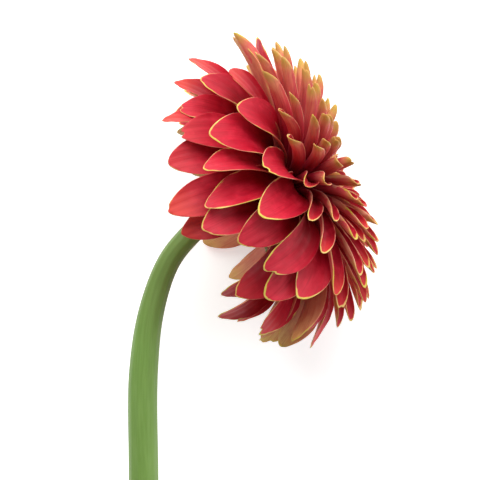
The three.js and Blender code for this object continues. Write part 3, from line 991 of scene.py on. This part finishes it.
def curve_points(knots, samples):
    """Points evenly spaced along the smooth curve through the knots, and the curve's length."""
    knots = np.array(knots, float)
    padded = np.vstack([2 * knots[0] - knots[1], knots, 2 * knots[-1] - knots[-2]])
    dense = []
    for start in range(len(knots) - 1):
        p0, p1, p2, p3 = padded[start:start + 4]
        d0, d1, d2 = (np.linalg.norm(b - a) ** 0.5 for a, b in ((p0, p1), (p1, p2), (p2, p3)))
        first = ((p1 - p0) / d0 - (p2 - p0) / (d0 + d1) + (p2 - p1) / d1) * d1
        last = ((p2 - p1) / d1 - (p3 - p1) / (d1 + d2) + (p3 - p2) / d2) * d1
        t = np.linspace(0, 1, CURVE_STEPS, endpoint=False)[:, None]
        cubic = 2 * p1 - 2 * p2 + first + last
        square = -3 * p1 + 3 * p2 - 2 * first - last
        dense.append(p1 + first * t + square * t ** 2 + cubic * t ** 3)
    dense = np.vstack(dense + [knots[-1:]])
    travelled = np.append(0, np.cumsum(np.linalg.norm(np.diff(dense, axis=0), axis=1)))
    places = np.linspace(0, travelled[-1], samples)
    line = np.stack([np.interp(places, travelled, dense[:, k]) for k in range(3)], axis=1)
    return line, travelled[-1]


def stem_grid():
    """Rings of points of the fine stem, with its ribs, from the head to the cut end."""
    knots = [HEAD_CENTRE + AXIS * STEM_START, HEAD_CENTRE + AXIS * (STEM_START - STEM_LEAD)]
    knots += [np.array([HEAD_CENTRE[0] + x, HEAD_CENTRE[1] + y, z]) for x, y, z in STEM_LINE]
    line, length = curve_points(knots, STEM_RINGS + 1)
    tangent = unit(np.gradient(line, axis=0))
    tangent[0] = -AXIS
    side = unit(np.cross([0, 0, 1], tangent))
    top = np.cross(tangent, side)
    share = np.linspace(0, 1, STEM_RINGS + 1)
    flare = np.maximum(0, 1 - share / FLARE_SHARE) ** 2
    radius = NECK_RADIUS + STEM_SWELL * smooth_step(SWELL_FROM, SWELL_TO, share) + STEM_TAPER * share
    radius = radius + NECK_FLARE * flare
    ribs = sum(height * np.sin(count * ROUND + start) for height, count, start in STEM_RIBS)
    oval = STEM_OVAL * np.sin(share * OVAL_SWING)[:, None] * np.sin(2 * ROUND)[None]
    full = radius[:, None] + ribs[None] + oval - STEM_OVAL
    wide = full * np.cos(ROUND)
    high = full * np.sin(ROUND)
    points = line[:, None] + side[:, None] * wide[..., None] + top[:, None] * high[..., None]
    lean = smooth_step(1 - SLANT_SHARE, 1, share)[:, None] * CUT_SLANT
    points = points - tangent[:, None] * (lean * high)[..., None]
    points[0] += AXIS * STEM_SINK
    return above_surface(points), share, radius, length


def add_stem(material, end_material):
    """The stem's skin and its cut end, as two pieces."""
    points, share, radius, length = stem_grid()
    share = share[:, None]
    flat_map = np.stack(np.broadcast_arrays(share, ROUND / (2 * np.pi)), axis=-1)
    values = dict(along=share, across=radius[:, None] * ROUND, distance=share * length, tone=0)
    add_rings("stem_skin", points, flat_map, material, "stem", **values)
    add_cut(points[-1], end_material)


CUT_MAP = 0.45  # radius of the cut end on the baking map


def add_cut(ring, material):
    """The slanted cut end, whose pith has sunk a little."""
    centre = ring[:-1].mean(axis=0)
    share = np.linspace(1, 0, CUT_RINGS + 1)[:, None]
    quarter = len(ROUND) // 4
    outward = unit(np.cross(ring[quarter] - centre, ring[0] - centre))
    sunk = PITH_DEPTH * smooth_step(*PITH_EDGE, share)
    points = centre + (ring - centre) * share[..., None] + outward * sunk[..., None]
    flat_map = 0.5 + CUT_MAP * share[..., None] * np.stack([np.cos(ROUND), np.sin(ROUND)], axis=-1)
    points = above_surface(points)
    add_rings("stem_cut", points, flat_map, material, "stem", along=share, across=ROUND)


# The cut end's colours from its middle at 0 to its rind at 1.
CUT_STOPS = [(0.0, 214, 222, 170), (0.7, 198, 212, 148), (0.88, 140, 170, 90), (1.0, 96, 130, 60)]
BUNDLE = (104, 130, 64)
BUNDLE_COUNT = 22.0  # in the ring
BUNDLE_RING = 0.78  # its radius, as a share of the stem's
PITH_SPOT = (176, 192, 120)


def cut_material():
    """Pale pith with a ring of darker bundles inside a green rind."""
    nodes = Nodes("cut")
    along, across = nodes.value("along"), nodes.value("across")
    place = nodes.joined(nodes.times(along, 8.0), across, 0.0)
    colour = nodes.ramp(along, CUT_STOPS)
    from_ring = nodes.math("ABSOLUTE", nodes.minus(along, BUNDLE_RING))
    bundles = nodes.math("SINE", nodes.times(across, BUNDLE_COUNT))
    bundles = nodes.times(bundles, nodes.between(from_ring, 0.07, 0.02, 0.0, 0.7))
    colour = nodes.blend(bundles, colour, linear(BUNDLE))
    spots = nodes.noise(place, scale=2.0, detail=4.0)
    nodes.settings({
        "Base Color": nodes.tint(colour, PITH_SPOT, spots, 0.3, 0.8, 0.35),
        "Roughness": 0.35,
    })
    nodes.bump(nodes.noise(place, scale=3.0, detail=4.0), strength=0.4, distance=0.15 * MM)
    return nodes.material


FLOOR_HALF = 3.0  # metres
FLOOR_DEPTH = 0.0002  # metres below the surface that the flower lies on


def add_floor():
    """Plain white paper that glows a little, as the photograph's ground is pure white."""
    mesh = bpy.data.meshes.new("floor")
    sides = ((-1, -1), (1, -1), (1, 1), (-1, 1))
    corners = [(x * FLOOR_HALF, y * FLOOR_HALF, -FLOOR_DEPTH) for x, y in sides]
    mesh.from_pydata(corners, [], [(0, 1, 2, 3)])
    nodes = Nodes("paper")
    nodes.settings({
        "Base Color": (0.9, 0.9, 0.9, 1),
        "Emission Color": (1, 1, 1, 1),
        "Emission Strength": 0.5,
        "Roughness": 0.9,
        "Specular IOR Level": 0.1,
    })
    mesh.materials.append(nodes.material)
    floor = bpy.data.objects.new("floor", mesh)
    bpy.context.scene.collection.objects.link(floor)


def add_light(name, direction, distance, size, watts):
    """A soft square lamp that looks at the head from a direction."""
    target = Vector(HEAD_CENTRE * MM)
    data = bpy.data.lights.new(name, "AREA")
    data.size = size
    data.energy = watts
    lamp = bpy.data.objects.new(name, data)
    lamp.location = target + Vector(direction).normalized() * distance
    lamp.rotation_euler = (target - lamp.location).to_track_quat("-Z", "Y").to_euler()
    bpy.context.scene.collection.objects.link(lamp)


def add_camera():
    """A camera straight above, with the head where the photograph has it."""
    data = bpy.data.cameras.new("camera")
    data.sensor_width = SENSOR
    data.lens = SENSOR * CAMERA_DISTANCE / (PHOTO_SIZE * MM_PER_PIXEL)
    camera = bpy.data.objects.new("camera", data)
    right = (PHOTO_SIZE / 2 - HEAD_PIXEL[0]) * MM_PER_PIXEL
    above = (HEAD_PIXEL[1] - PHOTO_SIZE / 2) * MM_PER_PIXEL
    camera.location = Vector(HEAD_CENTRE + [right, above, CAMERA_DISTANCE]) * MM
    bpy.context.scene.collection.objects.link(camera)
    bpy.context.scene.camera = camera


def add_world(strength):
    """Even white light from all round."""
    world = bpy.data.worlds.new("studio")
    world.use_nodes = True
    background = world.node_tree.nodes["Background"]
    background.inputs["Color"].default_value = (1, 1, 1, 1)
    background.inputs["Strength"].default_value = strength
    bpy.context.scene.world = world


add_camera()
broad_petal = petal_material("broad_petal", BROAD_LOOK)
narrow_petal = petal_material("narrow_petal", NARROW_LOOK)
for whorl_number in range(len(WHORLS)):
    add_whorl(whorl_number, broad_petal if whorl_number < FIRST_NARROW else narrow_petal)
add_turned("receptacle", RECEPTACLE, narrow_petal, "petals")
bract_green = green_material("bract_green", dark=(86, 112, 48), light=(122, 148, 70), pale=(146, 164, 96))
add_turned("involucre_cup", CUP, bract_green, "involucre")
add_bracts(bract_green)
stem_green = green_material("stem_green", dark=(108, 143, 64), light=(119, 153, 75), pale=(132, 164, 90))
add_stem(stem_green, cut_material())
add_floor()
add_world(strength=0.28)
add_light("key", direction=(-0.2, 1.05, 0.95), distance=1.2, size=1.3, watts=22)
add_light("fill", direction=(1.0, 0.3, 0.7), distance=1.2, size=1.0, watts=7)
bpy.context.scene.view_settings.view_transform = "Standard"
